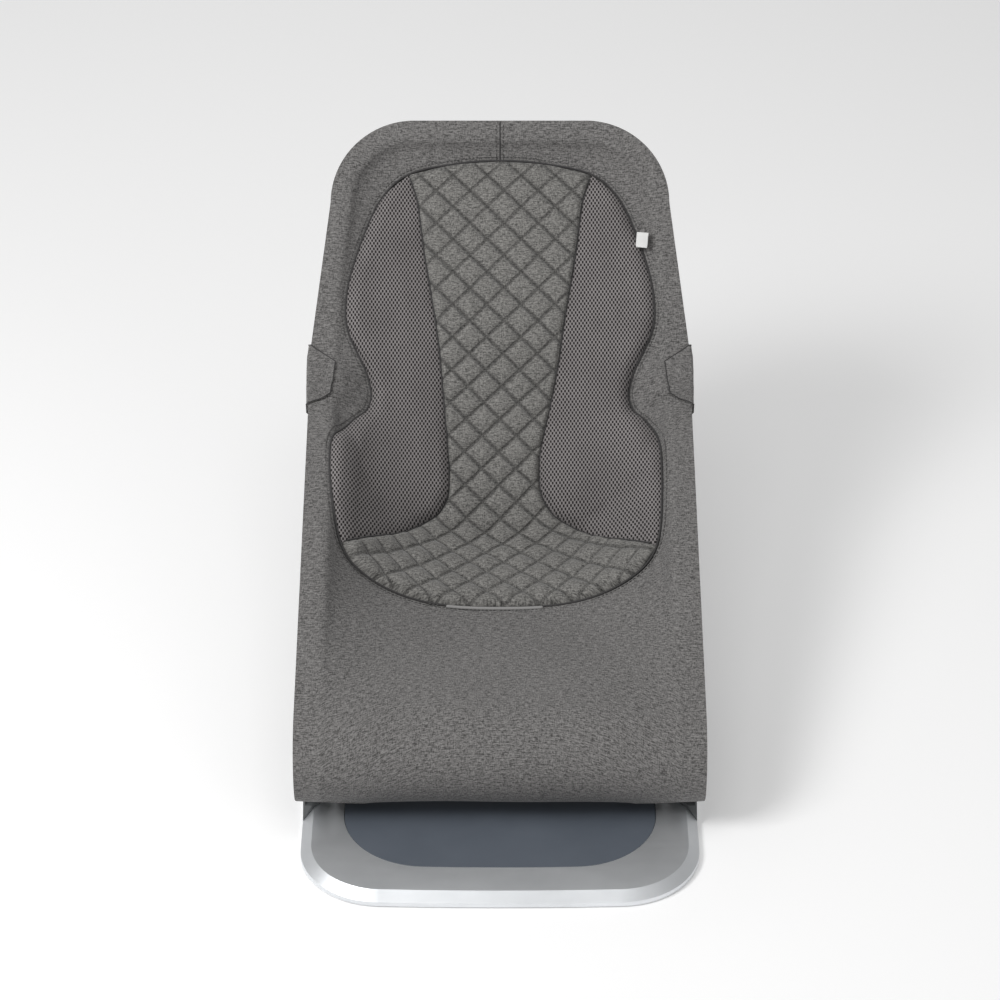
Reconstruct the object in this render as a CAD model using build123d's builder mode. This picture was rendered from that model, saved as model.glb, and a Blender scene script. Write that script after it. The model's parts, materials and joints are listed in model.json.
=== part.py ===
"""Baby bouncer seat: a flat metal floor base, two spring tubes that curl up round the front of the seat,
a backrest loop on two click hubs, a padded cover, and a quilted newborn insert.

Row frame in millimetres: +X to the sitter's left, +Y from the feet towards the head, +Z up. The origin is
the bottom centre of the whole seat's bounding box, on the floor.
"""

import os
from math import ceil, cos, degrees, hypot, radians, sin, sqrt, tan

from build123d import *

# ---------------------------------------------------------------- driving dimensions, in millimetres
front_y = -370.0  # the base's front edge
base_width = 387.0
base_length = 650.0
base_corner = 80.0
base_crown = 5.5  # how far the front and rear edges bow out
foot_height = 1.5
rim_edge = 4.5  # upright band round the rim
rim_rise = 7.5
rim_run = 10.4
sheet = 2.5
window_side = 40.4  # base edge to inlay, at the sides
window_end = 45.0  # base edge to inlay, at the front and rear
window_corner = 81.0

tube_x = 182.0
tube_r = 9.0
tube_wall = 1.5
ankle_back = 200.0  # leg pivots behind the base's front edge
ankle_z = 28.0
curl_r = 42.0
seat_rise = 17.5  # slope of the seat tubes, degrees
hub_back = 555.0  # hub axis behind the base's front edge
back_rise = 50.0  # slope of the backrest loop, degrees
loop_length = 277.0  # hub axis to the centre line of the loop's top, along the slope
loop_half_top = 161.0
loop_corner = 76.0

cover = 4.0  # padded fabric
roll_gap = 7.0  # spring tube's centre line to the inside of the cover round the nose
sleeve_out = 18.0  # tube centre to the outside of the sleeve
sleeve_in = 12.0
sleeve_high = 11.5
pan_z = 108.0  # top of the cover where the child sits
pan_bend_r = 40.0
back_sink = 10.0  # depth of the cover behind the plane of the backrest loop
recline_gap = 6.0  # cover and pads stop this far from the hub axis, above and below it
pad_gap = 0.8
pad_thick = 13.5
bolster_thick = 20.0

pin_r = 4.0
base_top = foot_height + rim_edge + rim_rise
os.makedirs("parts", exist_ok=True)


# ---------------------------------------------------------------- places worked out from those
def polar(centre, radius, angle):
    """A point (Y, Z) at an angle in degrees from +Y towards +Z."""
    return (centre[0] + radius * cos(radians(angle)), centre[1] + radius * sin(radians(angle)))


ankle = (front_y + ankle_back, ankle_z)
curl_centre = (front_y + 161.0, ankle_z + curl_r)
curl_end = polar(curl_centre, curl_r, 90 + seat_rise)
hub_y = front_y + hub_back
hub = (hub_y, curl_end[1] + (hub_y - curl_end[0]) * tan(radians(seat_rise)))

# The backrest plane: its x is the row's X, its y runs up the backrest, its z points to the sitter.
back_plane = Plane(
    origin=(0, hub[0], hub[1]),
    x_dir=(1, 0, 0),
    z_dir=(0, -sin(radians(back_rise)), cos(radians(back_rise))),
)


def on_back(up, out):
    """A point (Y, Z), a distance up the backrest from the hub axis and out towards the sitter."""
    rise = radians(back_rise)
    return (hub[0] + up * cos(rise) - out * sin(rise), hub[1] + up * sin(rise) + out * cos(rise))


def on_seat(distance, out):
    """A point (Y, Z), a distance down the seat tubes from the hub axis and out towards the sitter."""
    rise = radians(seat_rise)
    return (
        hub[0] - distance * cos(rise) - out * sin(rise),
        hub[1] - distance * sin(rise) + out * cos(rise),
    )


def tube_z(y):
    """Height of the seat tubes' centre line above a place Y."""
    return hub[1] - (hub[0] - y) * tan(radians(seat_rise))


def write(part, name):
    part.label = name
    export_step(part, f"parts/{name}.step")


def write_pair(part, name):
    """The right-hand piece is as drawn, at +X; the left-hand one is its mirror image."""
    write(part, f"right_{name}")
    write(mirror(part, about=Plane.YZ, mode=Mode.PRIVATE), f"left_{name}")


# ---------------------------------------------------------------- base
def base_outline(side, end, corner):
    """The base's rounded outline, set in from its edge at the sides and at the ends."""
    half = base_width / 2 - side
    y_front = front_y + end
    y_rear = front_y + base_length - end
    with BuildSketch(Plane.XY) as outline:
        with BuildLine():
            ThreePointArc((-half, y_front + base_crown), (0, y_front), (half, y_front + base_crown))
            Line((half, y_front + base_crown), (half, y_rear - base_crown))
            ThreePointArc((half, y_rear - base_crown), (0, y_rear), (-half, y_rear - base_crown))
            Line((-half, y_rear - base_crown), (-half, y_front + base_crown))
        make_face()
        fillet(outline.vertices(), corner)
    return outline.sketch


def inset_outline(inset):
    return base_outline(inset, inset, base_corner - inset)


screw_r = 2.0
boss_x = tube_x - 13.0
boss_stations = (ankle[0] - 2.0, ankle[0] + 30.0)
boss_places = [(side * boss_x, y) for side in (1, -1) for y in boss_stations]

with BuildPart() as base_hull:
    with BuildSketch(Plane.XY.offset(foot_height)):
        add(inset_outline(0))
    extrude(amount=rim_edge)
    with BuildSketch(Plane.XY.offset(foot_height + rim_edge)):
        add(inset_outline(0))
    with BuildSketch(Plane.XY.offset(base_top)):
        add(inset_outline(rim_run))
    loft()

with BuildPart() as base_ring:
    add(base_hull.part)
    with BuildSketch(Plane.XY.offset(foot_height)):
        add(inset_outline(sheet))
    extrude(amount=rim_edge - 1, mode=Mode.SUBTRACT)
    with BuildSketch(Plane.XY.offset(foot_height + rim_edge - 1)):
        add(inset_outline(sheet))
    with BuildSketch(Plane.XY.offset(base_top - sheet)):
        add(inset_outline(rim_run + 0.5))
    loft(mode=Mode.SUBTRACT)
    with BuildSketch(Plane.XY.offset(base_top)):
        add(base_outline(window_side, window_end, window_corner))
    extrude(amount=-rim_rise, mode=Mode.SUBTRACT)
    with Locations(*[(x, y, base_top) for x, y in boss_places]):
        Cylinder(screw_r + 0.1, 10, mode=Mode.SUBTRACT)
write(base_ring.part, "base_ring")

inlay_top = base_top - 0.6
inlay_thick = 3.5
with BuildPart() as base_inlay:
    with BuildSketch(Plane.XY.offset(inlay_top - inlay_thick)):
        add(base_outline(window_side + 0.3, window_end + 0.3, window_corner - 0.3))
    extrude(amount=inlay_thick)
    chamfer(base_inlay.faces().sort_by(Axis.Z)[-1].edges(), 0.5)
write(base_inlay.part, "base_inlay")

tray_inset = rim_run + 4.0
tray_floor = 2.5
tray_height = base_top - sheet - 0.5 - foot_height
inlay_rest = inlay_top - inlay_thick - foot_height
rib = 3.0
with BuildPart() as base_tray:
    with BuildSketch(Plane.XY.offset(foot_height)):
        add(inset_outline(tray_inset))
    extrude(amount=tray_floor)
    with BuildSketch(Plane.XY.offset(foot_height)):
        add(inset_outline(tray_inset))
        add(inset_outline(tray_inset + rib), mode=Mode.SUBTRACT)
    extrude(amount=tray_height)
    with BuildSketch(Plane.XY.offset(foot_height)):
        with Locations((0, front_y + base_length / 2)):
            with GridLocations(0, 110, 1, 5):
                Rectangle(base_width - 2 * tray_inset - rib, rib)
            with GridLocations(150, 0, 2, 1):
                Rectangle(rib, base_length - 2 * tray_inset - 40)
    extrude(amount=inlay_rest)
    with BuildSketch(Plane.XY.offset(foot_height)):
        with Locations(*boss_places):
            Circle(6)
    extrude(amount=tray_height)
    with BuildSketch(Plane.XY.offset(foot_height)):
        with Locations(*boss_places):
            Circle(screw_r + 0.6)
    extrude(amount=tray_height, mode=Mode.SUBTRACT)
write(base_tray.part, "base_tray")

pad_length = 70.0
pad_width = 16.0
for end, pad_y in (("front", front_y + 52.0), ("rear", front_y + base_length - 52.0)):
    with BuildPart() as foot_pads:
        with BuildSketch():
            with Locations((0, pad_y)):
                with GridLocations(190, 0, 2, 1):
                    SlotOverall(pad_length, pad_width)
        extrude(amount=foot_height)
        fillet(foot_pads.edges().group_by(Axis.Z)[0], 0.6)
    write(foot_pads.part, f"{end}_foot_pads")

# ---------------------------------------------------------------- boots that hold the legs on the base
boot_in = tube_x - 17.5
boot_out = base_width / 2
boot_tip = front_y + 126.0
boot_heel = front_y + 244.0
boot_foot = foot_height + rim_edge
slot_half = 9.5
slot_drop = 10.5
with BuildPart() as boot:
    with BuildSketch(Plane.XY.offset(boot_foot)):
        with BuildLine():
            Line((boot_out, boot_tip), (boot_out, boot_heel))
            Line((boot_out, boot_heel), (boot_in + 8, boot_heel))
            Line((boot_in + 8, boot_heel), (boot_in, boot_heel - 30))
            Line((boot_in, boot_heel - 30), (boot_in, boot_tip + 44))
            Spline(
                (boot_in, boot_tip + 44),
                (boot_in + 8, boot_tip + 24),
                (boot_out, boot_tip),
                tangents=((0, -1), (1, -1.1)),
            )
        make_face()
    extrude(amount=60)
    with BuildSketch(Plane.YZ.offset(boot_in)):
        with BuildLine():
            Spline(
                (boot_tip, boot_foot),
                (boot_tip + 19, 25),
                (ankle[0] - 24, 39),
                (ankle[0], 43),
                (ankle[0] + 22, 33),
                (boot_heel, boot_foot),
            )
            Line((boot_heel, boot_foot), (boot_tip, boot_foot))
        make_face()
    extrude(amount=boot_out - boot_in, mode=Mode.INTERSECT)
    with BuildSketch(Plane.YZ.offset(tube_x - slot_half)):
        with BuildLine():
            Polyline(
                (boot_tip - 20, ankle[1] - slot_drop),
                (ankle[0] + 11, ankle[1] - slot_drop),
                (ankle[0] + 11, 70),
                (boot_tip - 20, 70),
                close=True,
            )
        make_face()
    extrude(amount=2 * slot_half, mode=Mode.SUBTRACT)
    with Locations(Plane.YZ.offset(boot_in + 1)):
        with Locations(ankle):
            Cylinder(
                pin_r + 0.02,
                boot_out - boot_in,
                align=(Align.CENTER, Align.CENTER, Align.MIN),
                mode=Mode.SUBTRACT,
            )
    with Locations(*[(boss_x, y, base_top) for y in boss_stations]):
        Cylinder(screw_r + 0.1, 14, mode=Mode.SUBTRACT)
    add(base_hull.part, mode=Mode.SUBTRACT)
write_pair(boot.part, "boot")

with BuildPart() as ankle_pin:
    with Locations(Plane.YZ.offset(boot_in + 1.2)):
        with Locations(ankle):
            Cylinder(pin_r, boot_out - boot_in - 1.2, align=(Align.CENTER, Align.CENTER, Align.MIN))
    chamfer(ankle_pin.edges().filter_by(GeomType.CIRCLE), 0.5)
write_pair(ankle_pin.part, "ankle_pin")

with BuildPart() as boot_screws:
    with Locations(*[(x, y, foot_height + 0.4) for x, y in boss_places]):
        Cylinder(screw_r, 16, align=(Align.CENTER, Align.CENTER, Align.MIN))
        Cylinder(screw_r + 0.5, 3, align=(Align.CENTER, Align.CENTER, Align.MIN))
write(boot_screws.part, "boot_screws")

# ---------------------------------------------------------------- legs: foot of each spring tube
bend_gap = degrees(0.8 / curl_r)  # half the cut between a leg and its seat tube, where the spring flexes
leg_foot = (ankle[0] - 11.0, ankle[1])
curl_low = (curl_centre[0], curl_centre[1] - curl_r)
leg_tip = polar(curl_centre, curl_r, 180 + bend_gap)
with BuildPart() as leg_tube:
    with BuildLine(Plane.YZ.offset(tube_x)) as leg_path:
        Line(leg_foot, curl_low)
        ThreePointArc(curl_low, polar(curl_centre, curl_r, 225), leg_tip)
    with BuildSketch(Plane(origin=leg_path.line @ 0, z_dir=leg_path.line % 0)):
        Circle(tube_r)
        Circle(tube_r - tube_wall, mode=Mode.SUBTRACT)
    sweep(path=leg_path.line)
write_pair(leg_tube.part, "leg_tube")

with BuildPart() as leg_socket:
    with Locations(Plane.YZ.offset(tube_x)):
        with Locations(ankle):
            Cylinder(9.5, 2 * slot_half - 2)
    with BuildSketch(Plane(origin=(tube_x, ankle[0], ankle[1]), z_dir=(0, -1, 0))):
        Circle(tube_r - tube_wall - 0.1)
    extrude(amount=36)
    with Locations(Plane.YZ.offset(tube_x)):
        with Locations(ankle):
            Cylinder(pin_r + 0.05, 40, mode=Mode.SUBTRACT)
write_pair(leg_socket.part, "leg_socket")

rod_r = 4.0
rod_half = tube_x - tube_r
hem_angle = 246
cross_angle = 140
for name, angle in (("hem_rod", hem_angle), ("front_cross_rod", cross_angle)):
    with BuildPart() as cross_rod:
        with Locations(Plane.YZ):
            with Locations(polar(curl_centre, curl_r, angle)):
                Cylinder(rod_r, 2 * rod_half + 1)
    write(cross_rod.part, name)


def sleeve_section(path):
    """Padded sleeve round a spring tube, with more padding on the outside."""
    place = Plane(origin=path @ 0, x_dir=(1, 0, 0), z_dir=path % 0)
    with BuildSketch(place) as section:
        with Locations(((sleeve_out - sleeve_in) / 2, 0)):
            Ellipse((sleeve_out + sleeve_in) / 2, sleeve_high)
        Circle(tube_r + 0.3, mode=Mode.SUBTRACT)
    return section.sketch


with BuildPart() as leg_sleeve:
    with BuildLine(Plane.YZ.offset(tube_x)) as sleeve_path:
        ThreePointArc(
            polar(curl_centre, curl_r, 224),
            polar(curl_centre, curl_r, 205),
            polar(curl_centre, curl_r, 180 + 2 * bend_gap),
        )
    add(sleeve_section(sleeve_path.line))
    sweep(path=sleeve_path.line)
write_pair(leg_sleeve.part, "leg_sleeve")

# ---------------------------------------------------------------- seat frame
seat_tip = on_seat(34, 0)
seat_start = polar(curl_centre, curl_r, 180 - bend_gap)
with BuildPart() as seat_tube:
    with BuildLine(Plane.YZ.offset(tube_x)) as tube_path:
        ThreePointArc(seat_start, polar(curl_centre, curl_r, 145), curl_end)
        Line(curl_end, seat_tip)
    with BuildSketch(Plane(origin=tube_path.line @ 0, z_dir=tube_path.line % 0)):
        Circle(tube_r)
        Circle(tube_r - tube_wall, mode=Mode.SUBTRACT)
    sweep(path=tube_path.line)
write_pair(seat_tube.part, "seat_tube")

hub_boss_end = 62.0
with BuildPart() as seat_sleeve:
    with BuildLine(Plane.YZ.offset(tube_x)) as sleeve_path:
        ThreePointArc(
            polar(curl_centre, curl_r, 180 - 2 * bend_gap), polar(curl_centre, curl_r, 145), curl_end
        )
        Line(curl_end, on_seat(hub_boss_end + 1, 0))
    add(sleeve_section(sleeve_path.line))
    sweep(path=sleeve_path.line)
    with Locations(Plane.YZ):
        with Locations(polar(curl_centre, curl_r, cross_angle)):
            Cylinder(rod_r + 0.3, 2 * tube_x, mode=Mode.SUBTRACT)
write_pair(seat_sleeve.part, "seat_sleeve")

# ---------------------------------------------------------------- recline hubs
disc_r = 18.5
outer_face = tube_x + 14.5
inner_face = tube_x - 13.5
boss_r = 11.0
boss_from = disc_r + 1.5
blind = 33.8
gear_r = 13.0
tooth_r = 1.7
teeth = 12
peg_ring = 9.0  # where the release button's three legs pass through the hub
peg_r = 1.5
split_gap = 0.2
gear_nose_pocket = tube_x + 3.6  # floors of the pockets in the two halves
button_pocket = tube_x + 6.2
gear_pocket = tube_x - 10.4


def hub_half(near, far, rise):
    """One half of a hub: a disc, a neck, and a boss that holds a tube whose slope is rise degrees."""
    direction = (0, cos(radians(rise)), sin(radians(rise)))
    low = min(near, far)
    thick = abs(far - near)
    outside = -1 if far > near else 0
    with BuildPart() as half:
        with BuildSketch(Plane.YZ.offset(low)):
            with Locations(hub):
                Circle(disc_r)
        extrude(amount=thick)
        fillet(half.edges().filter_by(GeomType.CIRCLE).sort_by(Axis.X)[outside], 2)
        neck = Plane(origin=(tube_x, hub[0], hub[1]), z_dir=direction, x_dir=(1, 0, 0))
        with BuildSketch(neck.offset(boss_from)):
            Circle(boss_r)
        extrude(amount=hub_boss_end - boss_from)
        with BuildSketch(neck):
            with Locations((low + thick / 2 - tube_x, 0)):
                Rectangle(thick - 3, 2 * boss_r - 3)
        extrude(amount=boss_from + 6)
        with BuildSketch(neck.offset(blind)):
            Circle(tube_r + 0.05)
        extrude(amount=hub_boss_end - blind, mode=Mode.SUBTRACT)
        with Locations(Plane.YZ.offset(tube_x)):
            with Locations(hub):
                Cylinder(pin_r + 0.05, 60, mode=Mode.SUBTRACT)
    return half.part


def gear_outline(grow):
    """The lock gear's outline: a disc with round teeth, grown for the pockets it slides in."""
    with BuildSketch(Plane.YZ) as outline:
        with Locations(hub):
            Circle(gear_r + grow)
            with PolarLocations(gear_r, teeth):
                Circle(tooth_r + grow)
    return outline.sketch


with BuildPart() as hub_outer:
    add(hub_half(tube_x + split_gap, outer_face, 180 + seat_rise))
    with BuildSketch(Plane.YZ.offset(tube_x)):
        with Locations(hub):
            Circle(gear_r + tooth_r + 0.3)
    extrude(amount=gear_nose_pocket - tube_x, mode=Mode.SUBTRACT)
    with BuildSketch(Plane.YZ.offset(button_pocket)):
        with Locations(hub):
            Circle(gear_r + 0.7)
    extrude(amount=30, mode=Mode.SUBTRACT)
    with BuildSketch(Plane.YZ.offset(tube_x)):
        with Locations(hub):
            with PolarLocations(peg_ring, 3):
                Circle(peg_r + 0.4)
    extrude(amount=20, mode=Mode.SUBTRACT)
write_pair(hub_outer.part, "hub_outer")

with BuildPart() as hub_inner:
    add(hub_half(tube_x - split_gap, inner_face, back_rise))
    for face in gear_outline(0.2).faces():
        mouth = face.moved(Location((gear_pocket, 0, 0)))
        extrude(mouth, amount=tube_x - gear_pocket, dir=(1, 0, 0), mode=Mode.SUBTRACT)
write_pair(hub_inner.part, "hub_inner")

gear_outer = tube_x + 3.4
gear_thick = 6.0
with BuildPart() as lock_gear:
    for face in gear_outline(0).faces():
        extrude(face.moved(Location((gear_outer - gear_thick, 0, 0))), amount=gear_thick, dir=(1, 0, 0))
    with Locations(Plane.YZ.offset(tube_x)):
        with Locations(hub):
            Cylinder(pin_r + 0.4, 60, mode=Mode.SUBTRACT)
write_pair(lock_gear.part, "lock_gear")

button_back = tube_x + 10.2
button_thick = 6.0
with BuildPart() as release_button:
    with BuildSketch(Plane.YZ.offset(button_back)):
        with Locations(hub):
            Circle(gear_r)
    extrude(amount=button_thick)
    fillet(release_button.edges().filter_by(GeomType.CIRCLE).sort_by(Axis.X)[-1], 1.2)
    with BuildSketch(Plane.YZ.offset(button_back)):
        with Locations(hub):
            Circle(7)
    extrude(amount=3, mode=Mode.SUBTRACT)
    with BuildSketch(Plane.YZ.offset(gear_outer)):
        with Locations(hub):
            with PolarLocations(peg_ring, 3):
                Circle(peg_r)
    extrude(amount=button_back - gear_outer + 1)
write_pair(release_button.part, "release_button")

spring_r = 7.6
spring_wire = 0.5
spring_start = gear_pocket + spring_wire + 0.1
spring_height = gear_outer - gear_thick - spring_wire - 0.1 - spring_start
with BuildPart() as lock_spring:
    with BuildLine():
        coil = Helix(
            spring_height / 2.5,
            spring_height,
            spring_r,
            center=(spring_start, hub[0], hub[1]),
            direction=(1, 0, 0),
        )
    with BuildSketch(Plane(origin=coil @ 0, z_dir=coil % 0)):
        Circle(spring_wire)
    sweep(path=coil, is_frenet=True)
write_pair(lock_spring.part, "lock_spring")

pin_head = 2.0
with BuildPart() as hub_pin:
    with BuildSketch(Plane.YZ.offset(inner_face + 0.5)):
        with Locations(hub):
            Circle(pin_r)
    extrude(amount=button_pocket - inner_face)
    with BuildSketch(Plane.YZ.offset(button_pocket + 0.1)):
        with Locations(hub):
            Circle(6.3)
    extrude(amount=pin_head)
write_pair(hub_pin.part, "hub_pin")

# ---------------------------------------------------------------- backrest loop
lean_from = 80.0  # above this the loop's sides lean in
lean_r = 200.0


def loop_line(foot):
    """The loop's centre line in the backrest plane, from a distance above the hub axis."""
    FilletPolyline(
        (tube_x, foot),
        (tube_x, lean_from),
        (loop_half_top, loop_length),
        (-loop_half_top, loop_length),
        (-tube_x, lean_from),
        (-tube_x, foot),
        radius=[lean_r, loop_corner, loop_corner, lean_r],
    )


with BuildPart() as back_loop:
    with BuildLine(back_plane) as loop_path:
        loop_line(34)
    with BuildSketch(Plane(origin=loop_path.line @ 0, z_dir=loop_path.line % 0)):
        Circle(tube_r)
        Circle(tube_r - tube_wall, mode=Mode.SUBTRACT)
    sweep(path=loop_path.line)
write(back_loop.part, "back_loop")


def loop_x(up):
    """Half the distance between the loop's two sides, up the backrest."""
    return tube_x + (loop_half_top - tube_x) * max(up - lean_from, 0) / (loop_length - lean_from)


loop_sleeve_r = 12.0
with BuildPart() as back_sleeve:
    with BuildLine(back_plane) as loop_path:
        loop_line(hub_boss_end + 1)
    with BuildSketch(Plane(origin=loop_path.line @ 0, z_dir=loop_path.line % 0)):
        Circle(loop_sleeve_r)
        Circle(tube_r + 0.3, mode=Mode.SUBTRACT)
    sweep(path=loop_path.line)
write(back_sleeve.part, "back_sleeve")

# ---------------------------------------------------------------- cover
nose_in = curl_r + roll_gap
nose_out = nose_in + cover
nose_half = tube_x - sleeve_in - 0.5
nose_hem = 262
with BuildPart() as nose_cover:
    with BuildSketch(Plane.YZ.offset(-nose_half)):
        with BuildLine():
            ThreePointArc(
                polar(curl_centre, nose_out, nose_hem),
                polar(curl_centre, nose_out, 180),
                polar(curl_centre, nose_out, 90),
            )
            Line(polar(curl_centre, nose_out, 90), polar(curl_centre, nose_in, 90))
            ThreePointArc(
                polar(curl_centre, nose_in, 90),
                polar(curl_centre, nose_in, 180),
                polar(curl_centre, nose_in, nose_hem),
            )
            Line(polar(curl_centre, nose_in, nose_hem), polar(curl_centre, nose_out, nose_hem))
        make_face()
    extrude(amount=2 * nose_half)
    boot_reach = polar(curl_centre, nose_in, 228)
    for side in (1, -1):
        with Locations((side * (boot_in + 8), boot_reach[0] + 50, boot_reach[1] - 50)):
            Box(20, 100, 100, mode=Mode.SUBTRACT)
write(nose_cover.part, "nose_cover")


class Station:
    """A cross-section of the hanging fabric: its middle, the edge beside the tube, and half its width."""

    def __init__(self, middle, edge, half):
        self.middle = middle
        self.half = half
        self.depth = hypot(edge[0] - middle[0], edge[1] - middle[1])
        up = ((edge[0] - middle[0]) / self.depth, (edge[1] - middle[1]) / self.depth)
        self.plane = Plane(origin=(0, middle[0], middle[1]), x_dir=(1, 0, 0), z_dir=(0, -up[1], up[0]))

    def height(self, x):
        """The fabric hangs flat in the middle and climbs to the tube at the sides."""
        return self.depth * min(abs(x) / self.half, 1) ** 3

    def face(self, x_from, x_to, low, high):
        """The section of a piece lying on the fabric, between two places across and two heights."""
        count = 2 * ceil((x_to - x_from) / 56) + 5
        across = [x_from + (x_to - x_from) * i / (count - 1) for i in range(count)]
        below = [(x, self.height(x) + low) for x in across]
        above = [(x, self.height(x) + high) for x in across]
        with BuildSketch(self.plane) as section:
            with BuildLine():
                Spline(*below)
                Line(below[-1], above[-1])
                Spline(*reversed(above))
                Line(above[0], below[0])
            make_face()
        return section.sketch


def hammock(rows):
    """A piece lofted through rows of (station, x_from, x_to, low, high)."""
    with BuildPart() as piece:
        for station, *reach in rows:
            add(station.face(*reach))
        loft(ruled=True)
    return piece.part


edge_rise = 6.0  # cover's edge above the tube's centre line
edge_x = tube_x - sleeve_in - 2.5
pan_start = curl_centre[0] + 4.0
bend_y = on_back((pan_z - on_back(0, -back_sink)[1]) / sin(radians(back_rise)), -back_sink)[0]
bend_run = pan_bend_r * tan(radians(back_rise / 2))
bend_centre = (bend_y - bend_run, pan_z + pan_bend_r)


def seat_edge(y):
    return (y, tube_z(y) + edge_rise)


seat_stations = [
    Station((pan_start, curl_centre[1] + nose_out - 1), (pan_start, curl_centre[1] + nose_out + 2), edge_x),
    Station((front_y + 240, 113.0), seat_edge(front_y + 240), edge_x),
    Station((front_y + 327, pan_z), seat_edge(front_y + 327), edge_x),
    Station((front_y + 400, pan_z), seat_edge(front_y + 402), edge_x),
    Station((bend_centre[0], pan_z), seat_edge(front_y + 448), edge_x),
    Station(polar(bend_centre, pan_bend_r, -65), seat_edge(front_y + 474), edge_x),
    Station(on_back(-110, -back_sink), seat_edge(front_y + 500), edge_x),
    Station(on_back(-60, -back_sink), seat_edge(front_y + 526), edge_x),
    Station(on_back(-recline_gap, -back_sink), on_back(-recline_gap, edge_rise), edge_x),
]
write(hammock([(place, -edge_x, edge_x, -cover, 0) for place in seat_stations]), "seat_cover")


def inside_loop(up):
    """Half the width of the cover inside the backrest's sleeve, up the backrest."""
    straight = loop_x(up) - loop_sleeve_r - 2.5
    corner_r = loop_corner - loop_sleeve_r - 1.0
    past = up - (loop_length - loop_corner)
    if past <= 0:
        return straight
    corner_x = loop_x(loop_length - loop_corner) - loop_corner - 1.5
    return min(straight, corner_x + sqrt(corner_r**2 - past**2))


back_top = loop_length - loop_sleeve_r - 2.0
sink_until = 135.0  # the cover rises towards the loop's top from here


def back_station(up):
    """The backrest's cross-section, a distance up from the hub axis."""
    share = max(up - sink_until, 0) / (back_top - sink_until)
    out = back_sink * (0.8 * share - 1)
    return Station(on_back(up, out), on_back(up, edge_rise + 1), inside_loop(up))


back_levels = (recline_gap, 70, sink_until, 190, 218, 240)
back_stations = [back_station(up) for up in (*back_levels, back_top)]
write(hammock([(s, -s.half, s.half, -cover, 0) for s in back_stations]), "back_cover")

# ---------------------------------------------------------------- newborn insert
pan_halves = ((2, 95), (3, 150), (4, 112), (5, 74), (6, 57), (7, 56), (8, 60))
rows = [(seat_stations[i], -half, half, pad_gap, pad_thick) for i, half in pan_halves]
write(hammock(rows), "seat_pad")

bolster_reach = ((4, 113, 150), (5, 75, 158), (6, 58, 160), (7, 57, 156), (8, 61, 136))
rows = [
    (seat_stations[i], x_in + 1, x_out, pad_gap, bolster_thick if 4 < i < 8 else pad_thick)
    for i, x_in, x_out in bolster_reach
]
write_pair(hammock(rows), "seat_bolster")

back_halves = (60, 70, 80, 88, 92, 82)
wings = (136, 158, 152, 128, 104)
pad_rows = [(place, -half, half, pad_gap, pad_thick) for place, half in zip(back_stations, back_halves)]
write(hammock(pad_rows), "back_pad")
wing_rows = [
    (place, half + 1, x_out, pad_gap, pad_thick + 2)
    for place, half, x_out in zip(back_stations, back_halves, wings)
]
write_pair(hammock(wing_rows), "back_bolster")

flap_x = tube_x + 16.9
with BuildPart() as hub_flap:
    with BuildSketch(back_plane):
        with BuildLine():
            Polyline((flap_x, -24), (flap_x, 46), (flap_x + 2, 40), (flap_x + 2, -18), close=True)
        make_face()
    extrude(amount=18, both=True)
write_pair(hub_flap.part, "hub_flap")

tag = 16.0
tag_up = 158.0
with BuildPart() as side_tag:
    with BuildSketch(back_plane.offset(edge_rise + 7.5)):
        with Locations((153, tag_up)):
            Rectangle(tag, tag)
    extrude(amount=1.2)
write(side_tag.part, "side_tag")
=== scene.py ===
"""Looks of the baby bouncer seat: woven cover, quilted insert with spacer-mesh sides, trims and materials.

Metres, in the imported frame: +X to the sitter's left, +Y from the feet towards the head, +Z up. Soft pieces
are drawn on one surface, the cover's top. A place on it is (x, run): across the seat, and along the fabric's
middle from the front hem, round the nose, over the pan and up the back.
"""

import json
from math import cos, pi, radians, sin, sqrt, tan

import bpy
import numpy as np
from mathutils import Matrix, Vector


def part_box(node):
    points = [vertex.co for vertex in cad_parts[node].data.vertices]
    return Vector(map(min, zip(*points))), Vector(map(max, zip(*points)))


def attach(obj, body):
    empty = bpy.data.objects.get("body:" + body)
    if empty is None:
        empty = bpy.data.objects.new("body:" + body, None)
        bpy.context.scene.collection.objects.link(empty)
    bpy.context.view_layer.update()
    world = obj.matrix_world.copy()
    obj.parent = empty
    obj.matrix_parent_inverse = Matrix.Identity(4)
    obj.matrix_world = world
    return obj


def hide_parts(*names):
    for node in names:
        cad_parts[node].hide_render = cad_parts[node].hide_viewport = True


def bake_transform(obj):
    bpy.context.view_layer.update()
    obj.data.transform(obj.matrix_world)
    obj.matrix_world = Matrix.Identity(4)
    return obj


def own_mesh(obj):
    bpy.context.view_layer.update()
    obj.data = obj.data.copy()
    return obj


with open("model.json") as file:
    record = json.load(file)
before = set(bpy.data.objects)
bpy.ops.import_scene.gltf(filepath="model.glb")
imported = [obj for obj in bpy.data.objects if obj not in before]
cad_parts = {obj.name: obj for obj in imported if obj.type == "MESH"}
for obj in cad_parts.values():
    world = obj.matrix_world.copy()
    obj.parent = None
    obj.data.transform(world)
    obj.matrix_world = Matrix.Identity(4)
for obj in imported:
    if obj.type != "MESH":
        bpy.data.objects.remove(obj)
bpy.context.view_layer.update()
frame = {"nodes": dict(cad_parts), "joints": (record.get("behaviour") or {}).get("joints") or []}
joint_places = {j["name"]: j.get("pos_m") for j in frame["joints"]}

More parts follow.
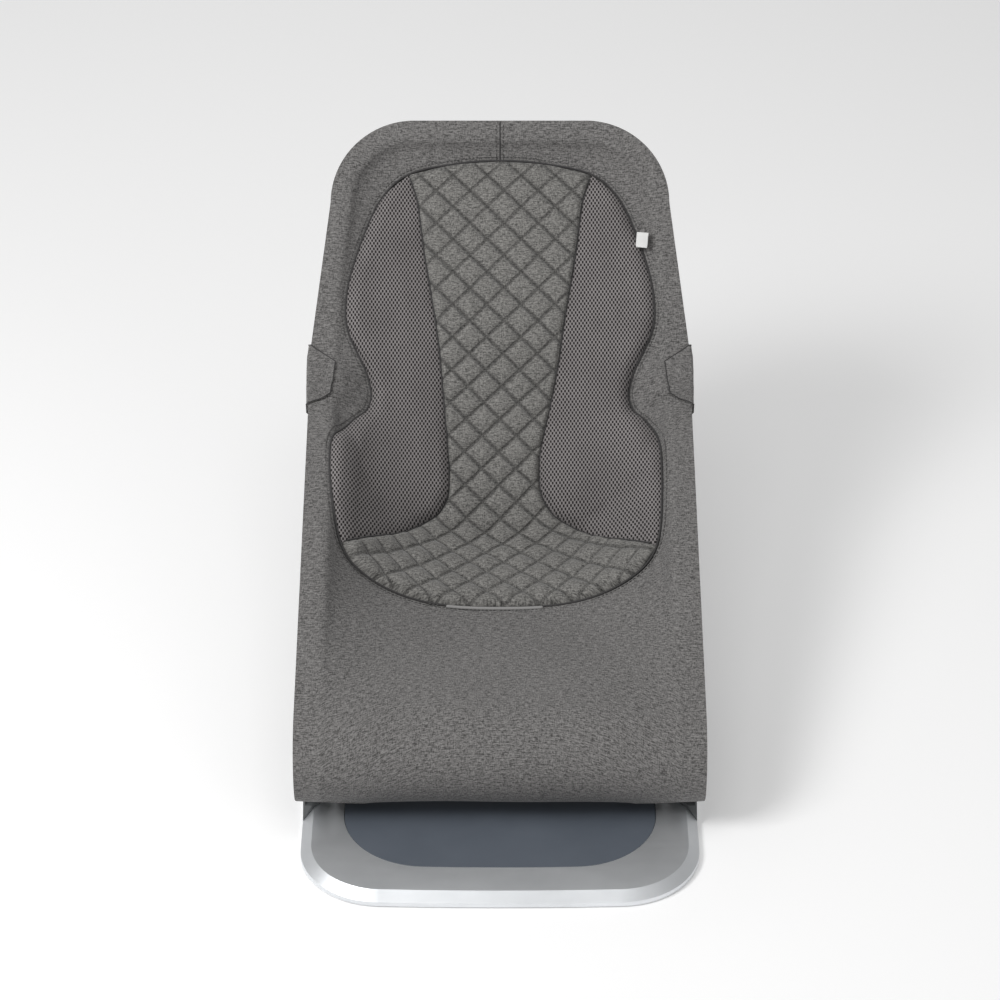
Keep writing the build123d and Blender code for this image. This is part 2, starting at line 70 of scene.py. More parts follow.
# ---------------------------------------------------------------- places from the frame
nodes = frame["nodes"]
hub = np.array(joint_places["backrest_recline"][1:])
curl_r = 0.042
curl = np.array(joint_places["seat_bounce"][1:]) + np.array((curl_r, 0.0))
front_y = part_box("base_ring")[0].y
seat_rise = radians(17.5)
back_rise = radians(50.0)
hub_tilt = 107.5  # direction, in degrees, that the cover faces on the seat tubes, and on the backrest
back_tilt = 140.0
loop_top = 0.289  # hub axis to the cover's top edge

cover_r = 0.053  # cover round the nose
hem_angle = 262.0
pan_z = 0.108
pan_bend = 0.040
back_sink = 0.010
half_cover = 0.200
lean_from = 0.035  # above this the cover narrows towards the head
lean = 0.128
corner_r = 0.088
tube_high_out = 0.0118  # cover above the tubes' centre line
layer = 0.005  # front layer to rear layer
tube_inset = 0.018  # cover's edge to the tubes' centre line
hub_bulge = 0.0105  # how much further the cover stands out over the hub discs
notch_half = 0.160  # half the hem's width where it is cut back beside the boots
cloth_reach = 0.204  # a little more than half the cover, so that tables of places hold all of it


def smooth(low, high, value):
    share = np.clip((value - low) / (high - low), 0, 1)
    return share * share * (3 - 2 * share)


def rounded(distance, radius):
    """0 at an edge, rising on a quarter circle to 1 at radius inside it."""
    return np.sqrt(np.clip(1 - (1 - np.clip(distance, 0, radius) / radius) ** 2, 0, 1))


def soft_max(first, second, width):
    """The larger of two, with the change from one to the other rounded."""
    return 0.5 * (first + second + np.sqrt((first - second) ** 2 + width**2))


def ray(angle):
    return np.array((cos(radians(angle)), sin(radians(angle))))


def on_back(up, out):
    """A point (Y, Z), a distance up the backrest from the hub axis and out towards the sitter."""
    along = np.array((cos(back_rise), sin(back_rise)))
    across = np.array((-sin(back_rise), cos(back_rise)))
    return hub + up * along + out * across


def arc(centre, radius, first, last, count=90):
    return [np.array(centre) + radius * ray(a) for a in np.linspace(first, last, count)]


def line(start, end, count=200):
    return [start + (end - start) * share for share in np.linspace(0, 1, count)]


class Path:
    """A line through points (Y, Z), read by its length."""

    def __init__(self, points):
        self.points = np.array(points)
        steps = np.hypot(*np.diff(self.points, axis=0).T)
        self.run = np.concatenate([[0.0], np.cumsum(steps)])

    def at(self, run):
        return np.stack([np.interp(run, self.run, self.points[:, k]) for k in (0, 1)], -1)

    def nearest(self, point):
        return self.run[np.argmin(np.hypot(*(self.points - point).T))]


def middle_path():
    """The cover's middle: round the nose, down to the pan, round the bend and up the back."""
    points = arc(curl, cover_r, hem_angle, 90)
    crown = points[-1]
    pan_from = front_y + 0.345
    for share in np.linspace(0, 1, 60)[1:]:
        fall = share * share * (3 - 2 * share)
        points.append(
            np.array((crown[0] + (pan_from - crown[0]) * share, crown[1] + (pan_z - crown[1]) * fall))
        )
    foot = on_back(0, -back_sink)
    bend_y = on_back((pan_z - foot[1]) / sin(back_rise), -back_sink)[0]
    bend = np.array((bend_y - pan_bend * tan(back_rise / 2), pan_z + pan_bend))
    points += line(points[-1], bend - np.array((0, pan_bend)), 40)[1:]
    points += arc(bend, pan_bend, -90, -40, 30)[1:]
    points += line(points[-1], on_back(loop_top, -back_sink), 300)[1:]
    return Path(points), bend


middle, bend_centre = middle_path()
curl_top = curl + curl_r * ray(hub_tilt)
tube = Path(
    arc(curl, curl_r, hem_angle, hub_tilt) + line(curl_top, hub)[1:] + line(hub, on_back(loop_top, 0))[1:]
)
nose_run = cover_r * radians(hem_angle - hub_tilt)
tube_nose_run = curl_r * radians(hem_angle - hub_tilt)
tube_hub_run = tube_nose_run + np.hypot(*(hub - curl_top))
hub_run = middle.nearest(on_back(0, -back_sink))
top_run = middle.run[-1]


def tube_run_at(y):
    return tube_nose_run + (y - curl_top[0]) / cos(seat_rise)


def pan_run_at(y):
    past_nose = middle.run > cover_r * radians(hem_angle - 91)
    return np.interp(y, middle.points[past_nose][:, 0], middle.run[past_nose])


def pairs():
    """Runs along the middle and along the tubes that face each other across the fabric."""
    matched = [(0, 0), (nose_run, tube_nose_run)]
    for back in (0.166, 0.240, 0.327, 0.400):
        matched.append((pan_run_at(front_y + back), tube_run_at(front_y + back)))
    matched.append((pan_run_at(bend_centre[0]), tube_run_at(bend_centre[0] + 0.010)))
    matched.append((middle.nearest(bend_centre + pan_bend * ray(-65)), tube_run_at(bend_centre[0] + 0.035)))
    for below in (0.110, 0.060, 0.0):
        matched.append((middle.nearest(on_back(-below, -back_sink)), tube_hub_run - below * 0.52))
    matched.append((top_run, tube_hub_run + loop_top))
    return np.array(matched)


paired = pairs()
straight_half = half_cover - lean * (loop_top - corner_r - lean_from)  # where the top corners start


def half_width(run):
    """Half the cover's width, before the top corners round it. The hem is cut back beside the boots."""
    width = half_cover - lean * np.clip(run - hub_run - lean_from, 0, None)
    angle = hem_angle - np.degrees(run / cover_r)
    notch = smooth(232, 218, angle)
    return np.where(run < 0.1, notch_half + (width - notch_half) * notch, width)


def outline_half(run):
    up = run - hub_run
    past = up - (loop_top - corner_r)
    in_corner = straight_half - corner_r + np.sqrt(np.clip(corner_r**2 - past**2, 0, None))
    return np.where(past > 0, in_corner, half_width(run))


def edge_distance(x, run):
    """How far a place is inside the cover's outline."""
    past = run - hub_run - (loop_top - corner_r)
    beside = np.abs(x) - (straight_half - corner_r)
    in_corner = np.where(beside > 0, corner_r - np.hypot(beside, past), corner_r - past)
    return np.where(past > 0, in_corner, half_width(run) - np.abs(x))


def cover_point(x, run, rear=False):
    """A point of the cover's front or rear layer. It lies on the tubes at the sides and hangs between."""
    x, run = np.broadcast_arrays(np.asarray(x, float), np.asarray(run, float))
    centre = middle.at(run)
    tube_run = np.interp(run, paired[:, 0], paired[:, 1])
    side = tube.at(tube_run)
    tilt = np.where(tube_run < tube_nose_run, hem_angle - np.degrees(tube_run / curl_r), hub_tilt)
    tilt = tilt + (back_tilt - hub_tilt) * smooth(tube_hub_run - 0.03, tube_hub_run + 0.03, tube_run)
    up = np.stack([np.cos(np.radians(tilt)), np.sin(np.radians(tilt))], -1)
    reach = tube_inset - 0.005 * smooth(hub_run + 0.04, hub_run + 0.12, run)
    distance = np.clip(edge_distance(x, run), 0, None)
    inside = np.clip(distance - reach, 0, None)
    at_hub = smooth(0.044, 0.014, np.abs(run - hub_run))
    bulge = at_hub * smooth(0.065, 0.035, distance)
    high = tube_high_out + hub_bulge * bulge
    open_width = half_width(run) + (corner_r - half_width(run)) * smooth(hub_run, hub_run + 0.19, run)
    hang = 1 - (1 - np.clip(inside / (open_width - reach), 0, 1)) ** 3
    roll = high * rounded(distance, reach)
    drop = (centre - side - up * tube_high_out) * hang[..., None]
    level = roll + (drop * up).sum(-1)
    round_share = inside / (tube_high_out + 0.013 * bulge)
    leaves = 0.92  # past this share of the tube's roundness the cover runs straight down off it
    straight_down = sqrt(1 - leaves**2) - leaves / sqrt(1 - leaves**2) * (round_share - leaves)
    on_round = np.sqrt(np.clip(1 - round_share**2, 0, None))
    wrap = high * np.where(round_share < leaves, on_round, straight_down)
    lift = soft_max(level, wrap, 0.006 * smooth(0, 0.012, inside)) - level
    lift = lift * smooth(0.075, 0.045, inside)
    place = side + up * (roll + lift)[..., None] + drop
    if rear:
        share = smooth(0.017 * at_hub, 0.020 + 0.022 * at_hub, inside)[..., None]
        place = (side - up * roll[..., None]) * (1 - share) + (place - up * layer) * share
    return np.concatenate([x[..., None], place], -1)


def surface_normal(x, run):
    step = 0.0015
    across = cover_point(x + step, run) - cover_point(x - step, run)
    along = cover_point(x, run + step) - cover_point(x, run - step)
    normal = np.cross(across, along)
    return normal / (np.linalg.norm(normal, axis=-1, keepdims=True) + 1e-12)


def on_cover(x, run, height):
    """A point a height above the cover's front layer."""
    x, run = np.broadcast_arrays(np.asarray(x, float), np.asarray(run, float))
    return cover_point(x, run) + surface_normal(x, run) * np.asarray(height, float)[..., None]


# ---------------------------------------------------------------- meshes
def make_object(name, points, faces, material, cloth=None):
    mesh = bpy.data.meshes.new(name)
    mesh.from_pydata([tuple(p) for p in points], [], faces)
    mesh.update()
    if cloth is not None:
        attribute = mesh.attributes.new("cloth", "FLOAT_VECTOR", "POINT")
        flat = np.zeros((len(points), 3), np.float32)
        flat[:, :2] = cloth
        attribute.data.foreach_set("vector", flat.ravel())
    for polygon in mesh.polygons:
        polygon.use_smooth = True
    obj = bpy.data.objects.new(name, mesh)
    bpy.context.scene.collection.objects.link(obj)
    mesh.materials.append(material)
    return obj


def grid_faces(rows, columns, first=0, flip=False):
    """Quads of a grid of points, row by row."""
    index = np.arange(rows * columns).reshape(rows, columns) + first
    quads = np.stack([index[:-1, :-1], index[:-1, 1:], index[1:, 1:], index[1:, :-1]], -1).reshape(-1, 4)
    if flip:
        quads = quads[:, ::-1]
    return quads.tolist()


def make_tube(name, paths, radius, material, sides=8):
    """Round tubes along lists of points, as one mesh. Each path is (points, closed)."""
    points, faces, cloth = [], [], []
    angles = np.linspace(0, 2 * pi, sides, endpoint=False)
    for path, closed in paths:
        path = np.asarray(path, float)
        count = len(path)
        ahead = np.roll(path, -1, 0) - np.roll(path, 1, 0)
        if not closed:
            ahead[0] = path[1] - path[0]
            ahead[-1] = path[-1] - path[-2]
        ahead /= np.linalg.norm(ahead, axis=1, keepdims=True)
        lift = np.cross(ahead, np.cross(np.array((0.0, -0.3, 1.0)), ahead))
        lift /= np.linalg.norm(lift, axis=1, keepdims=True)
        aside = np.cross(ahead, lift)
        first = len(points)
        taper = np.ones(count)
        if not closed:
            taper[0] = taper[-1] = 0.55
        for k in range(count):
            ring = path[k] + radius * taper[k] * (
                np.cos(angles)[:, None] * lift[k] + np.sin(angles)[:, None] * aside[k]
            )
            points.extend(ring)
            cloth.extend([(k * radius, angle * radius) for angle in angles])
        turns = count if closed else count - 1
        for k in range(turns):
            low, high = first + k * sides, first + ((k + 1) % count) * sides
            for side in range(sides):
                after = (side + 1) % sides
                faces.append((low + side, high + side, high + after, low + after))
        if not closed:
            faces.append(tuple(first + side for side in range(sides)))
            faces.append(tuple(first + (count - 1) * sides + side for side in reversed(range(sides))))
    return make_object(name, points, faces, material, cloth)


def spline_through(points, count, closed=False):
    """A smooth line through points, evenly spaced along it."""
    points = np.asarray(points, float)
    if closed:
        padded = np.concatenate([points[-1:], points, points[:2]])
    else:
        padded = np.concatenate([2 * points[:1] - points[1:2], points, 2 * points[-1:] - points[-2:-1]])
    share = np.linspace(0, 1, 24, endpoint=False)[:, None]
    pieces = []
    for k in range(1, len(padded) - 2):
        a, b, c, d = padded[k - 1 : k + 3]
        square, cubic = 2 * a - 5 * b + 4 * c - d, 3 * (b - c) + d - a
        pieces.append(b + 0.5 * share * (c - a + share * (square + share * cubic)))
    dense = np.concatenate(pieces + [padded[-2:-1]])
    run = np.concatenate([[0], np.cumsum(np.linalg.norm(np.diff(dense, axis=0), axis=1))])
    wanted = np.linspace(0, run[-1], count)
    return np.stack([np.interp(wanted, run, dense[:, k]) for k in range(dense.shape[1])], -1)


def distance_to(x, run, path):
    """Distance from places to a line on the cloth."""
    flat = np.stack([np.ravel(x), np.ravel(run)], -1)
    best = np.full(len(flat), 1e9)
    for k in range(len(path) - 1):
        start, step = path[k], path[k + 1] - path[k]
        share = np.clip(((flat - start) @ step) / max(step @ step, 1e-12), 0, 1)
        best = np.minimum(best, np.hypot(*(flat - start - share[:, None] * step).T))
    return best.reshape(np.shape(x))


# ---------------------------------------------------------------- materials
def new_material(name):
    material = bpy.data.materials.new(name)
    material.use_nodes = True
    tree = material.node_tree
    return material, tree, tree.nodes["Principled BSDF"]


def add_node(tree, kind, inputs=None, **settings):
    node = tree.nodes.new(kind)
    for key, value in settings.items():
        setattr(node, key, value)
    for key, value in (inputs or {}).items():
        if isinstance(value, bpy.types.NodeSocket):
            tree.links.new(value, node.inputs[key])
        else:
            node.inputs[key].default_value = value
    return node


def calculate(tree, operation, first, second=0.0, third=None):
    inputs = {0: first, 1: second}
    if third is not None:
        inputs[2] = third
    return add_node(tree, "ShaderNodeMath", inputs, operation=operation).outputs[0]


def mix_colours(tree, share, first, second):
    node = add_node(tree, "ShaderNodeMix", {0: share, 6: first, 7: second}, data_type="RGBA")
    return node.outputs[2]


def cloth_noise(tree, source, scale, detail=3.0, rough=0.55):
    """Noise stretched differently across and along the cloth."""
    mapping = add_node(tree, "ShaderNodeMapping", {0: source})
    mapping.inputs["Scale"].default_value = scale
    noise = add_node(
        tree, "ShaderNodeTexNoise", {"Vector": mapping.outputs[0], "Scale": 1.0, "Detail": detail}
    )
    noise.inputs["Roughness"].default_value = rough
    return noise.outputs[0]


def remap(tree, value, low, high, to_low=0.0, to_high=1.0):
    inputs = {0: value, 1: low, 2: high, 3: to_low, 4: to_high}
    return add_node(tree, "ShaderNodeMapRange", inputs, clamp=True).outputs[0]


def heather_fabric(name, dark, light, slub=0.40):
    """Plain weave of mixed grey yarns, with slubs that run across the seat."""
    material, tree, shader = new_material(name)
    cloth = add_node(tree, "ShaderNodeAttribute", attribute_name="cloth").outputs["Vector"]
    slubs = cloth_noise(tree, cloth, (130, 620, 1), 4.0, 0.72)
    yarn = cloth_noise(tree, cloth, (330, 1000, 1), 3.0, 0.7)
    warp = cloth_noise(tree, cloth, (900, 240, 1), 2.0, 0.65)
    cloud = cloth_noise(tree, cloth, (11, 9, 1), 2.0, 0.5)
    fibres = calculate(tree, "MULTIPLY_ADD", slubs, slub, calculate(tree, "MULTIPLY", yarn, 0.76 - slub))
    fibres = calculate(tree, "MULTIPLY_ADD", warp, 0.24, fibres)
    shade = remap(tree, fibres, 0.43, 0.57)
    shade = calculate(tree, "MULTIPLY_ADD", cloud, 0.16, calculate(tree, "MULTIPLY", shade, 0.88))
    colour = mix_colours(tree, shade, dark, light)
    tree.links.new(colour, shader.inputs["Base Color"])
    rough = remap(tree, slubs, 0.3, 0.7, 0.86, 0.97)
    tree.links.new(rough, shader.inputs["Roughness"])
    shader.inputs["Sheen Weight"].default_value = 0.22
    shader.inputs["Sheen Roughness"].default_value = 0.45
    shader.inputs["Specular IOR Level"].default_value = 0.25
    bump = add_node(tree, "ShaderNodeBump", {"Height": fibres, "Strength": 0.45, "Distance": 0.0011})
    tree.links.new(bump.outputs[0], shader.inputs["Normal"])
    return material


def quilted(material):
    """Adds the quilting's sunk thread to a fabric, with painted shade that darkens the grooves along the
    stitch lines, most along one family of lines and darker still on the thread.
    """
    tree = material.node_tree
    shader = tree.nodes["Principled BSDF"]
    lattice = add_node(tree, "ShaderNodeAttribute", attribute_name="lattice").outputs["Vector"]
    axes = add_node(tree, "ShaderNodeSeparateXYZ", {0: lattice})
    near = []
    for own, other in ((0, 1), (1, 0)):
        off = calculate(tree, "PINGPONG", axes.outputs[own], 0.5)
        groove = remap(tree, off, 0.012, 0.085, 0.0, 1.0)
        beat = calculate(tree, "SINE", calculate(tree, "MULTIPLY", axes.outputs[other], 2 * pi * 8))
        on_line = remap(tree, off, 0.014, 0.03, 1, 0)
        thread = calculate(tree, "MULTIPLY", on_line, remap(tree, beat, -0.5, 0.1))
        # one family of grooves is made deeper than the other, in the bump and in the painted shade
        near.append((remap(tree, groove, 0, 1, 0.0 if own == 0 else 0.3, 1.0), thread))
    groove = calculate(tree, "MULTIPLY", near[0][0], near[1][0])
    thread = calculate(tree, "MAXIMUM", near[0][1], near[1][1])
    link = shader.inputs["Base Color"].links[0]
    # painted shade: the grooves and the sunk thread are mixed towards near-black
    groove_shade = remap(tree, groove, 0, 1, 0.62, 1.0)
    groove_shade = calculate(tree, "MULTIPLY", groove_shade, remap(tree, thread, 0, 1, 1.0, 0.72))
    shaded = mix_colours(tree, groove_shade, (0.012, 0.0115, 0.011, 1), link.from_socket)
    tree.links.new(shaded, shader.inputs["Base Color"])
    height = calculate(tree, "MULTIPLY_ADD", thread, 0.35, groove)
    normal = shader.inputs["Normal"].links[0].from_socket
    sunk = {"Height": height, "Strength": 0.8, "Distance": 0.0022, "Normal": normal}
    bump = add_node(tree, "ShaderNodeBump", sunk)
    tree.links.new(bump.outputs[0], shader.inputs["Normal"])
    return material


def spacer_mesh(name):
    """Warp-knit spacer mesh: rows of small holes, each row half a hole across from the next, the holes
    painted near-black as painted shade in their depths.
    """
    material, tree, shader = new_material(name)
    cloth = add_node(tree, "ShaderNodeAttribute", attribute_name="cloth").outputs["Vector"]
    axes = add_node(tree, "ShaderNodeSeparateXYZ", {0: cloth})
    across = calculate(tree, "COSINE", calculate(tree, "MULTIPLY", axes.outputs[0], pi / 0.0019))
    along = calculate(tree, "COSINE", calculate(tree, "MULTIPLY", axes.outputs[1], pi / 0.0030))
    lattice = calculate(tree, "MULTIPLY", across, along)
    wobble = cloth_noise(tree, cloth, (700, 700, 1), 2.0)
    lattice = calculate(tree, "MULTIPLY_ADD", calculate(tree, "SUBTRACT", wobble, 0.5), 0.3, lattice)
    hole = remap(tree, lattice, 0.02, 0.20)
    tone = cloth_noise(tree, cloth, (25, 18, 1), 3.0)
    strand = mix_colours(tree, tone, (0.180, 0.166, 0.165, 1), (0.310, 0.289, 0.287, 1))
    # painted shade: the holes are near-black, standing in for the shade in their depths
    colour = mix_colours(tree, hole, strand, (0.012, 0.010, 0.010, 1))
    tree.links.new(colour, shader.inputs["Base Color"])
    shader.inputs["Roughness"].default_value = 0.82
    shader.inputs["Sheen Weight"].default_value = 0.12
    shader.inputs["Specular IOR Level"].default_value = 0.3
    height = calculate(tree, "SUBTRACT", 1.0, hole)
    bump = add_node(tree, "ShaderNodeBump", {"Height": height, "Strength": 0.8, "Distance": 0.0012})
    tree.links.new(bump.outputs[0], shader.inputs["Normal"])
    return material


def object_noise(tree, scale, detail=3.0):
    """Noise in the object's own space, for hard parts."""
    place = add_node(tree, "ShaderNodeTexCoord").outputs["Object"]
    return cloth_noise(tree, place, scale, detail)


def hard_material(name, dark, light, rough, metallic=0.0, grain=(900, 900, 900), bump_height=0.00025):
    """Moulded, coated or metal surface with fine grain, mottling and slight wear."""
    material, tree, shader = new_material(name)
    fine = object_noise(tree, grain, 2.0)
    broad = object_noise(tree, (14, 14, 14), 4.0)
    colour = mix_colours(tree, remap(tree, broad, 0.3, 0.7), dark, light)
    tree.links.new(colour, shader.inputs["Base Color"])
    tree.links.new(remap(tree, fine, 0.25, 0.75, rough - 0.07, rough + 0.07), shader.inputs["Roughness"])
    shader.inputs["Metallic"].default_value = metallic
    bump = add_node(tree, "ShaderNodeBump", {"Height": fine, "Strength": 0.35, "Distance": bump_height})
    tree.links.new(bump.outputs[0], shader.inputs["Normal"])
    return material


def plain_thread(name, dark, light):
    material, tree, shader = new_material(name)
    cloth = add_node(tree, "ShaderNodeAttribute", attribute_name="cloth").outputs["Vector"]
    twist = cloth_noise(tree, cloth, (2400, 2400, 1), 2.0)
    tree.links.new(mix_colours(tree, twist, dark, light), shader.inputs["Base Color"])
    shader.inputs["Roughness"].default_value = 0.75
    shader.inputs["Sheen Weight"].default_value = 0.15
    bump = add_node(tree, "ShaderNodeBump", {"Height": twist, "Strength": 0.6, "Distance": 0.0004})
    tree.links.new(bump.outputs[0], shader.inputs["Normal"])
    return material


cover_cloth = heather_fabric("cover_cloth", (0.040, 0.0385, 0.0375, 1), (0.264, 0.256, 0.250, 1))
quilt_cloth = quilted(heather_fabric("quilt_cloth", (0.052, 0.051, 0.048, 1), (0.300, 0.292, 0.277, 1), 0.34))
mesh_cloth = spacer_mesh("mesh_cloth")
dark_piping = plain_thread("dark_piping", (0.020, 0.019, 0.019, 1), (0.055, 0.052, 0.052, 1))
stitch_thread = plain_thread("stitch_thread", (0.030, 0.029, 0.028, 1), (0.080, 0.077, 0.075, 1))
slot_tape = plain_thread("slot_tape", (0.22, 0.215, 0.21, 1), (0.36, 0.355, 0.35, 1))
tag_ribbon = plain_thread("tag_ribbon", (0.74, 0.74, 0.73, 1), (0.86, 0.86, 0.85, 1))

# ---------------------------------------------------------------- main cover
def length_tables():
    """Real lengths of cloth, across from the middle and along from the hubs, on a grid of places."""
    xs, runs = np.linspace(0, cloth_reach, 103), np.linspace(0, top_run, 460)
    points = cover_point(np.repeat(xs[None], len(runs), 0), np.repeat(runs[:, None], len(xs), 1))
    across = np.linalg.norm(np.diff(points, axis=1), axis=-1)
    across = np.concatenate([np.zeros((len(runs), 1)), np.cumsum(across, 1)], 1)
    along = np.linalg.norm(np.diff(points, axis=0), axis=-1)
    along = np.concatenate([np.zeros((1, len(xs))), np.cumsum(along, 0)])
    along = along - along[np.argmin(np.abs(runs - hub_run))]
    return across, along


across_table, along_table = length_tables()


def cloth_lengths(x, run):
    """Lengths of cloth to places, so that a weave keeps its scale wherever the cover is steep."""
    x, run = np.broadcast_arrays(x, run)
    rows, columns = across_table.shape
    row = np.clip(run / top_run * (rows - 1), 0, rows - 1.001)
    column = np.clip(np.abs(x) / cloth_reach * (columns - 1), 0, columns - 1.001)
    r, c = row.astype(int), column.astype(int)
    v, u = row - r, column - c
    found = []
    for table in (across_table, along_table):
        low = table[r, c] * (1 - u) + table[r, c + 1] * u
        high = table[r + 1, c] * (1 - u) + table[r + 1, c + 1] * u
        found.append(low * (1 - v) + high * v)
    return np.stack([found[0] * np.sign(x), found[1]], -1)


def build_cover():
    tight = 0.03
    runs = np.concatenate(
        [np.linspace(0, top_run - tight, 290), top_run - tight * (1 - np.linspace(0, 1, 26)[1:]) ** 2]
    )
    spread = np.linspace(-1, 1, 161)
    across = np.sign(spread) * (1 - (1 - np.abs(spread)) ** 1.7)
    x = outline_half(runs)[:, None] * across
    run = np.repeat(runs[:, None], len(spread), 1)
    ripple = 0.0006 * np.sin(x * 31 + run * 17) * np.sin(run * 43 - x * 11)
    calm = rounded(edge_distance(x, run), 0.04)
    front = cover_point(x, run) + surface_normal(x, run) * (ripple * calm)[..., None]
    rear = cover_point(x[:, 1:-1], run[:, 1:-1], rear=True)
    rows, columns = x.shape
    points = np.concatenate([front.reshape(-1, 3), rear.reshape(-1, 3)])
    cloth = np.concatenate(
        [
            cloth_lengths(x, run).reshape(-1, 2),
            cloth_lengths(x[:, 1:-1], run[:, 1:-1]).reshape(-1, 2) + (0, 2),
        ]
    )
    first = rows * columns
    inner = columns - 2
    faces = grid_faces(rows, columns) + grid_faces(rows, inner, first, flip=True)
    for row in range(rows - 1):
        low, high = row * columns, (row + 1) * columns
        rear_low, rear_high = first + row * inner, first + (row + 1) * inner
        faces.append((low, high, rear_high, rear_low))
        faces.append((low + columns - 1, rear_low + inner - 1, rear_high + inner - 1, high + columns - 1))
    for row, flip in ((0, True), (rows - 1, False)):
        edge = [row * columns + k for k in range(columns)]
        back = [row * columns] + [first + row * inner + k for k in range(inner)] + [edge[-1]]
        for k in range(columns - 1):
            loop = list(dict.fromkeys((edge[k], back[k], back[k + 1], edge[k + 1])))
            if len(loop) > 2:
                faces.append(tuple(loop[::-1]) if flip else tuple(loop))
    return make_object("main_cover", points, faces, cover_cloth, cloth)


# Insert: places are (x, up), up being the run above the hub, in metres. Right half, mirrored for the left.
outline_half_points = [
    (0.000, -0.2730), (0.040, -0.2723), (0.075, -0.2707), (0.104, -0.2680), (0.132, -0.2636),
    (0.152, -0.2570), (0.163, -0.2450), (0.170, -0.2260), (0.177, -0.1950), (0.180, -0.1640),
    (0.177, -0.1250), (0.168, -0.0885), (0.153, -0.0520), (0.140, -0.0300), (0.135, -0.0050),
    (0.140, 0.0190), (0.151, 0.0440), (0.1595, 0.0640), (0.1625, 0.0870), (0.158, 0.1230),
    (0.141, 0.1760), (0.1235, 0.2110), (0.097, 0.2343), (0.050, 0.2450), (0.000, 0.2486),
]  # fmt: skip
seam_half_points = [
    (0.0968, 0.2343), (0.0875, 0.2050), (0.0805, 0.1530), (0.0735, 0.1100), (0.0670, 0.0700),
    (0.0620, 0.0300), (0.0555, -0.0180), (0.0495, -0.0610), (0.0485, -0.0890), (0.0515, -0.1110),
    (0.0625, -0.1310), (0.0800, -0.1470), (0.1160, -0.1840), (0.1440, -0.2140), (0.1640, -0.2430),
]  # fmt: skip
seam_shift = 0.006  # the centre panel is sewn this far to the sitter's right at its narrowest
corner_low, corner_high = 6, 22  # where the seams meet the outline
drawn_in = {1: 0.070, -1: 0.025}  # how much narrower each side is than these points, low in the seat


def to_cloth(points, side=1):
    """Places on the cover from (x, up), on one side."""
    flat = np.array(points, float)
    narrow = drawn_in[side] * np.exp(-(((flat[:, 1] + 0.16) / 0.08) ** 2))
    return np.stack([flat[:, 0] * side * (1 - narrow), flat[:, 1] + hub_run], -1)


def seam_line(side, count=260):
    flat = to_cloth(seam_half_points, side)
    up = flat[:, 1] - hub_run
    flat[1:-1, 0] -= seam_shift * np.exp(-(((up[1:-1] + 0.075) / 0.07) ** 2))
    return spline_through(flat, count)


def outline_part(side, start, end, count):
    return spline_through(to_cloth(outline_half_points[start : end + 1], side), count)


def whole_outline(count):
    right = to_cloth(outline_half_points, 1)
    left = to_cloth(outline_half_points[-2:0:-1], -1)
    return spline_through(np.concatenate([right, left]), count, closed=True)


outline = whole_outline(420)
seams = {side: seam_line(side) for side in (1, -1)}


quilt_wide, quilt_tall = 0.036, 0.035  # diagonals of a diamond
quilt_node = (0.005, 0.181)  # a crossing of two stitch lines: across, and above the hub


def quilt_place(x, run):
    """Places in the diamond lattice. Each family of stitch lines is at whole numbers."""
    up = run - hub_run
    drift = seam_shift * np.exp(-(((up + 0.075) / 0.09) ** 2))
    across = (x + drift - quilt_node[0]) / quilt_wide
    along = (up - quilt_node[1]) / quilt_tall
    return across + along, across - along


def quilting(x, run):
    """0 on the stitch lines, 1 in a diamond's middle. High up, the lines down to the left are shallow."""
    first, second = quilt_place(x, run)
    share = 0.5 + 0.5 * smooth(0.15, 0.03, run - hub_run)
    ridge = np.abs(np.sin(pi * first)) ** 0.42
    other = np.abs(np.sin(pi * second)) ** 0.42
    return ridge * (1 - share * (1 - other))


def centre_height(x, run):
    to_seam = np.minimum(distance_to(x, run, seams[1]), distance_to(x, run, seams[-1]))
    to_edge = distance_to(x, run, outline)
    puff = quilting(x, run)
    swell = rounded(to_edge, 0.012) * rounded(to_seam, 0.008)
    pinch = 0.003 * np.exp(-((to_seam / 0.002) ** 2))
    return 0.0012 + 0.0068 * rounded(to_edge, 0.011) + 0.0056 * puff * swell - pinch


def side_height(x, run):
    to_seam = np.minimum(distance_to(x, run, seams[1]), distance_to(x, run, seams[-1]))
    to_edge = distance_to(x, run, outline)
    up = run - hub_run
    bolster = np.exp(-(((up + 0.11) / 0.075) ** 2))
    body = 0.0075 + 0.0045 * smooth(0, 0.035, to_seam) + 0.009 * bolster * rounded(to_seam, 0.016)
    edge = rounded(to_edge, 0.013)
    return 0.0012 + body * edge * (0.45 + 0.55 * rounded(to_seam, 0.012))


def rim_pairs(rows, columns):
    """Neighbours round the edge of a grid of points, as pairs of indices."""
    rim = [k for k in range(columns)]
    rim += [row * columns + columns - 1 for row in range(1, rows)]
    rim += [(rows - 1) * columns + k for k in range(columns - 2, -1, -1)]
    rim += [row * columns for row in range(rows - 2, 0, -1)]
    return zip(rim, rim[1:] + rim[:1])


def coons(bottom, top, left, right):
    """A grid of places between four edge lines. Rows run from bottom to top."""
    rows, columns = len(left), len(bottom)
    v = np.linspace(0, 1, rows)[:, None, None]
    u = np.linspace(0, 1, columns)[None, :, None]
    ruled = (1 - v) * bottom[None] + v * top[None] + (1 - u) * left[:, None] + u * right[:, None]
    corners = (
        (1 - u) * (1 - v) * bottom[0] + u * (1 - v) * bottom[-1] + (1 - u) * v * top[0] + u * v * top[-1]
    )
    return ruled - corners


